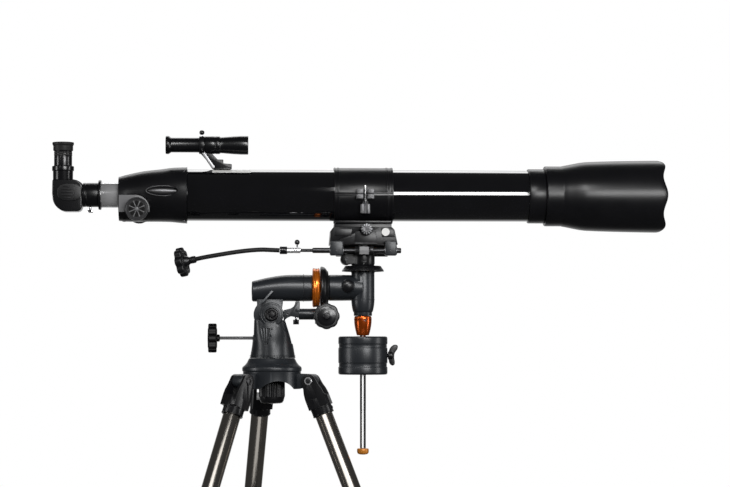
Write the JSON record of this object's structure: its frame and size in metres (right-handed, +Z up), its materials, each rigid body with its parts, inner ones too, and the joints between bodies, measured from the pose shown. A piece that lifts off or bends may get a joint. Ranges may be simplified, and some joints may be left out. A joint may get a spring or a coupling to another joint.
{
  "type": "telescope on tripod",
  "caption": "Refracting telescope with dew shield, star diagonal and finder on a counterweighted German equatorial mount and folding steel tripod",
  "frame": {"origin": "on the floor, at the centre of the bounding box in plan", "axes": "+X along the tube towards the objective, +Z up, +Y away from the side with the saddle clamp knob"},
  "size_m": [1.1064, 0.6525, 1.2016],
  "materials": {
    "tripod_hub": "satin gunmetal enamel",
    "azimuth_lock_knob": "moulded satin black",
    "leg_bracket_1": "moulded satin black",
    "leg_tube_1": "polished stainless steel",
    "leg_clamp_1": "moulded satin black",
    "lower_leg_1": "polished stainless steel",
    "leg_lock_screw_1": "moulded satin black",
    "brace_arm_1": "satin black",
    "leg_bracket_2": "moulded satin black",
    "leg_tube_2": "polished stainless steel",
    "leg_clamp_2": "moulded satin black",
    "lower_leg_2": "polished stainless steel",
    "leg_lock_screw_2": "moulded satin black",
    "brace_arm_2": "satin black",
    "leg_bracket_3": "moulded satin black",
    "leg_tube_3": "polished stainless steel",
    "leg_clamp_3": "moulded satin black",
    "lower_leg_3": "polished stainless steel",
    "leg_lock_screw_3": "moulded satin black",
    "brace_arm_3": "satin black",
    "brace_hub": "moulded satin black",
    "accessory_tray": "moulded satin black",
    "azimuth_base": "satin gunmetal enamel",
    "latitude_bolt": "satin black",
    "latitude_screw": "moulded satin black",
    "polar_housing": "satin gunmetal enamel",
    "ra_worm_bracket": "satin gunmetal enamel",
    "ra_setting_circle": "orange anodised",
    "ra_worm_wheel": "satin black",
    "ra_slow_motion": "moulded satin black",
    "dec_housing": "satin gunmetal enamel",
    "dec_setting_circle": "satin black",
    "dec_worm_wheel": "machined bronze",
    "saddle": "satin gunmetal enamel",
    "dec_shaft": "polished stainless steel",
    "dec_cover": "moulded satin black",
    "bar_lock_collar": "orange anodised",
    "counterweight_bar": "bright chrome plate",
    "bar_end_cap": "orange anodised",
    "dec_cable": "black rubber",
    "dovetail_bar": "satin black",
    "ring_lower": "satin black",
    "main_tube": "high-gloss black lacquer on aluminium",
    "objective_cell": "satin black",
    "objective_lens": "coated optical glass",
    "dew_shield": "satin black, matt inside",
    "focuser_housing": "satin black",
    "finder_bracket": "moulded satin black",
    "finder_scope": "satin black anodised",
    "dec_worm": "bright chrome plate",
    "cable_knob": "moulded satin black",
    "saddle_clamp_knob": "bright chrome plate",
    "counterweight": "satin gunmetal enamel over cast iron",
    "counterweight_screw": "moulded satin black",
    "ring_upper": "satin black",
    "ring_latch": "bright chrome plate",
    "drawtube": "bright chrome plate",
    "focus_pinion": "moulded satin black",
    "star_diagonal": "moulded satin black",
    "eyepiece": "moulded satin black"
  },
  "bodies": {
    "tripod_head": {"tripod_hub": "tripod_hub"},
    "azimuth_lock": {"azimuth_lock_knob": "azimuth_lock_knob"},
    "leg_1": {"leg_bracket_1": "leg_bracket_1", "leg_tube_1": "leg_tube_1", "leg_clamp_1": "leg_clamp_1"},
    "lower_leg_1": {"lower_leg_1": "lower_leg_1"},
    "leg_lock_1": {"leg_lock_screw_1": "leg_lock_screw_1"},
    "brace_arm_1": {"brace_arm_1": "brace_arm_1"},
    "leg_2": {"leg_bracket_2": "leg_bracket_2", "leg_tube_2": "leg_tube_2", "leg_clamp_2": "leg_clamp_2"},
    "lower_leg_2": {"lower_leg_2": "lower_leg_2"},
    "leg_lock_2": {"leg_lock_screw_2": "leg_lock_screw_2"},
    "brace_arm_2": {"brace_arm_2": "brace_arm_2"},
    "leg_3": {"leg_bracket_3": "leg_bracket_3", "leg_tube_3": "leg_tube_3", "leg_clamp_3": "leg_clamp_3"},
    "lower_leg_3": {"lower_leg_3": "lower_leg_3"},
    "leg_lock_3": {"leg_lock_screw_3": "leg_lock_screw_3"},
    "brace_arm_3": {"brace_arm_3": "brace_arm_3"},
    "brace_hub": {"brace_hub": "brace_hub", "accessory_tray": "accessory_tray"},
    "mount_base": {"azimuth_base": "azimuth_base", "latitude_bolt": "latitude_bolt"},
    "latitude_screw": {"latitude_screw": "latitude_screw"},
    "polar_head": {"polar_housing": "polar_housing", "ra_worm_bracket": "ra_worm_bracket"},
    "ra_circle": {"ra_setting_circle": "ra_setting_circle"},
    "ra_wheel": {"ra_worm_wheel": "ra_worm_wheel"},
    "ra_worm": {"ra_slow_motion": "ra_slow_motion"},
    "ra_axis": {"dec_housing": "dec_housing"},
    "dec_circle": {"dec_setting_circle": "dec_setting_circle"},
    "dec_wheel": {"dec_worm_wheel": "dec_worm_wheel"},
    "telescope": {"saddle": "saddle", "dec_shaft": "dec_shaft", "dec_cover": "dec_cover", "bar_lock_collar": "bar_lock_collar", "counterweight_bar": "counterweight_bar", "bar_end_cap": "bar_end_cap", "dec_cable": "dec_cable", "dovetail_bar": "dovetail_bar", "ring_lower": "ring_lower", "main_tube": "main_tube", "objective_cell": "objective_cell", "objective_lens": "objective_lens", "dew_shield": "dew_shield", "focuser_housing": "focuser_housing", "finder_bracket": "finder_bracket", "finder_scope": "finder_scope"},
    "dec_worm": {"dec_worm": "dec_worm"},
    "cable_knob": {"cable_knob": "cable_knob"},
    "saddle_clamp": {"saddle_clamp_knob": "saddle_clamp_knob"},
    "counterweight": {"counterweight": "counterweight"},
    "counterweight_screw": {"counterweight_screw": "counterweight_screw"},
    "ring_upper": {"ring_upper": "ring_upper"},
    "ring_latch": {"ring_latch": "ring_latch"},
    "drawtube": {"drawtube": "drawtube"},
    "focus_pinion": {"focus_pinion": "focus_pinion"},
    "diagonal": {"star_diagonal": "star_diagonal"},
    "eyepiece": {"eyepiece": "eyepiece"}
  },
  "joints": [
    {"name": "azimuth_lock_turn", "type": "hinge", "parent": "tripod_head", "child": "azimuth_lock", "pos_m": [-0.158, -0.056, 0.7503], "axis": [0, 0, 1], "range_deg": [-720, 0]},
    {"name": "leg_fold_1", "type": "hinge", "parent": "tripod_head", "child": "leg_1", "pos_m": [-0.1738, 0.01527, 0.7503], "axis": [-0.9763, -0.2164, 0], "range_deg": [0, 17]},
    {"name": "leg_extend_1", "type": "slide", "parent": "leg_1", "child": "lower_leg_1", "axis": [-0.08, 0.361, -0.9291], "range_m": [0, 0.4]},
    {"name": "leg_lock_turn_1", "type": "hinge", "parent": "leg_1", "child": "leg_lock_1", "pos_m": [-0.22702, 0.25532, 0.13243], "axis": [-0.2011, 0.9071, 0.3697], "range_deg": [0, 540]},
    {"name": "brace_swing_1", "type": "hinge", "parent": "leg_1", "child": "brace_arm_1", "pos_m": [-0.20358, 0.14961, 0.3315], "axis": [-0.9763, -0.2164, 0], "range_deg": [0, 29.4]},
    {"name": "leg_fold_2", "type": "hinge", "parent": "tripod_head", "child": "leg_2", "pos_m": [-0.08838, -0.07795, 0.7503], "axis": [0.3007, 0.9537, 0], "range_deg": [0, 17]},
    {"name": "leg_extend_2", "type": "slide", "parent": "leg_2", "child": "lower_leg_2", "axis": [0.3526, -0.1112, -0.9291], "range_m": [0, 0.4]},
    {"name": "leg_lock_turn_2", "type": "hinge", "parent": "leg_2", "child": "leg_lock_2", "pos_m": [0.14612, -0.15189, 0.13243], "axis": [0.8861, -0.2794, 0.3697], "range_deg": [0, 540]},
    {"name": "brace_swing_2", "type": "hinge", "parent": "leg_2", "child": "brace_arm_2", "pos_m": [0.04285, -0.11933, 0.3315], "axis": [0.3007, 0.9537, 0], "range_deg": [0, 29.4]},
    {"name": "leg_fold_3", "type": "hinge", "parent": "tripod_head", "child": "leg_3", "pos_m": [-0.21182, -0.10532, 0.7503], "axis": [0.6756, -0.7373, 0], "range_deg": [0, 17]},
    {"name": "leg_extend_3", "type": "slide", "parent": "leg_3", "child": "lower_leg_3", "axis": [-0.2726, -0.2498, -0.9291], "range_m": [0, 0.4]},
    {"name": "leg_lock_turn_3", "type": "hinge", "parent": "leg_3", "child": "leg_lock_3", "pos_m": [-0.3931, -0.27143, 0.13243], "axis": [-0.685, -0.6277, 0.3697], "range_deg": [0, 540]},
    {"name": "brace_swing_3", "type": "hinge", "parent": "leg_3", "child": "brace_arm_3", "pos_m": [-0.31327, -0.19828, 0.3315], "axis": [0.6756, -0.7373, 0], "range_deg": [0, 29.4]},
    {"name": "brace_rise", "type": "slide", "parent": "tripod_head", "child": "brace_hub", "axis": [0, 0, 1], "range_m": [0, 0.0743]},
    {"name": "azimuth_turn", "type": "hinge", "parent": "tripod_head", "child": "mount_base", "pos_m": [-0.158, -0.056, 0.791], "axis": [0, 0, 1], "continuous": true},
    {"name": "latitude_screw_turn", "type": "hinge", "parent": "mount_base", "child": "latitude_screw", "pos_m": [-0.2726, -0.056, 0.8272], "axis": [1, 0, 0], "range_deg": [-1080, 1080]},
    {"name": "latitude_tilt", "type": "hinge", "parent": "mount_base", "child": "polar_head", "pos_m": [-0.1592, -0.056, 0.8691], "axis": [0, -1, 0], "range_deg": [0, 60]},
    {"name": "ra_circle_turn", "type": "hinge", "parent": "polar_head", "child": "ra_circle", "pos_m": [-0.079, -0.056, 0.9177], "axis": [1, 0, 0], "continuous": true},
    {"name": "ra_slow", "type": "hinge", "parent": "polar_head", "child": "ra_wheel", "pos_m": [-0.064, -0.056, 0.9177], "axis": [1, 0, 0], "range_deg": [-7.5, 7.5]},
    {"name": "ra_worm_turn", "type": "hinge", "parent": "polar_head", "child": "ra_worm", "pos_m": [-0.0622, -0.056, 0.8655], "axis": [0, -1, 0], "range_deg": [-720, 720]},
    {"name": "ra_turn", "type": "hinge", "parent": "ra_wheel", "child": "ra_axis", "pos_m": [-0.05, -0.056, 0.9177], "axis": [1, 0, 0], "range_deg": [-65, 60]},
    {"name": "dec_circle_turn", "type": "hinge", "parent": "ra_axis", "child": "dec_circle", "pos_m": [0.0057, -0.056, 0.954], "axis": [0, 0, 1], "continuous": true},
    {"name": "dec_turn", "type": "hinge", "parent": "ra_axis", "child": "dec_wheel", "pos_m": [0.0057, -0.056, 0.984], "axis": [0, 0, 1], "continuous": true},
    {"name": "dec_slow", "type": "hinge", "parent": "dec_wheel", "child": "telescope", "pos_m": [0.0057, -0.056, 0.984], "axis": [0, 0, 1], "range_deg": [-7.5, 7.5]},
    {"name": "dec_worm_turn", "type": "hinge", "parent": "telescope", "child": "dec_worm", "pos_m": [0, -0.091, 0.9837], "axis": [1, 0, 0], "range_deg": [-720, 720]},
    {"name": "cable_knob_turn", "type": "hinge", "parent": "telescope", "child": "cable_knob", "pos_m": [-0.2945, -0.0835, 0.968], "axis": [0.9397, -0.2781, 0.1992], "range_deg": [-720, 720]},
    {"name": "saddle_clamp_turn", "type": "hinge", "parent": "telescope", "child": "saddle_clamp", "pos_m": [0.0103, -0.086, 1.0218], "axis": [0, -1, 0], "range_deg": [0, 720]},
    {"name": "counterweight_slide", "type": "slide", "parent": "telescope", "child": "counterweight", "axis": [0, 0, -1], "range_m": [0, 0.08]},
    {"name": "counterweight_screw_turn", "type": "hinge", "parent": "counterweight", "child": "counterweight_screw", "pos_m": [0.05, -0.056, 0.7958], "axis": [1, 0, 0], "range_deg": [0, 720]},
    {"name": "ring_open", "type": "hinge", "parent": "telescope", "child": "ring_upper", "pos_m": [0, 0, 1.084], "axis": [-1, 0, 0], "range_deg": [0, 110]},
    {"name": "ring_latch_turn", "type": "hinge", "parent": "telescope", "child": "ring_latch", "pos_m": [0.0074, -0.1125, 1.084], "axis": [0, 0, 1], "range_deg": [-720, 0]},
    {"name": "focus_travel", "type": "slide", "parent": "telescope", "child": "drawtube", "axis": [-1, 0, 0], "range_m": [-0.03, 0.06]},
    {"name": "focus_turn", "type": "hinge", "parent": "telescope", "child": "focus_pinion", "pos_m": [-0.3992, -0.056, 1.0563], "axis": [0, -1, 0], "range_deg": [-374, 748]},
    {"name": "diagonal_turn", "type": "hinge", "parent": "drawtube", "child": "diagonal", "pos_m": [-0.49, -0.056, 1.084], "axis": [1, 0, 0], "continuous": true},
    {"name": "eyepiece_lift", "type": "slide", "parent": "diagonal", "child": "eyepiece", "axis": [0, 0, 1], "range_m": [0, 0.028]}
  ],
  "couplings": [
    {"joint": "brace_swing_1", "follows": "leg_fold_1", "ratio": 1.7261},
    {"joint": "leg_fold_2", "follows": "leg_fold_1", "ratio": 1},
    {"joint": "brace_swing_2", "follows": "leg_fold_1", "ratio": 1.7261},
    {"joint": "leg_fold_3", "follows": "leg_fold_1", "ratio": 1},
    {"joint": "brace_swing_3", "follows": "leg_fold_1", "ratio": 1.7261},
    {"joint": "brace_rise", "follows": "leg_fold_1", "m_per_rad": 0.2503},
    {"joint": "ra_worm_turn", "follows": "ra_slow", "ratio": 96},
    {"joint": "dec_worm_turn", "follows": "dec_slow", "ratio": 96},
    {"joint": "cable_knob_turn", "follows": "dec_slow", "ratio": 96},
    {"joint": "focus_turn", "follows": "focus_travel", "rad_per_m": 217.4}
  ]
}
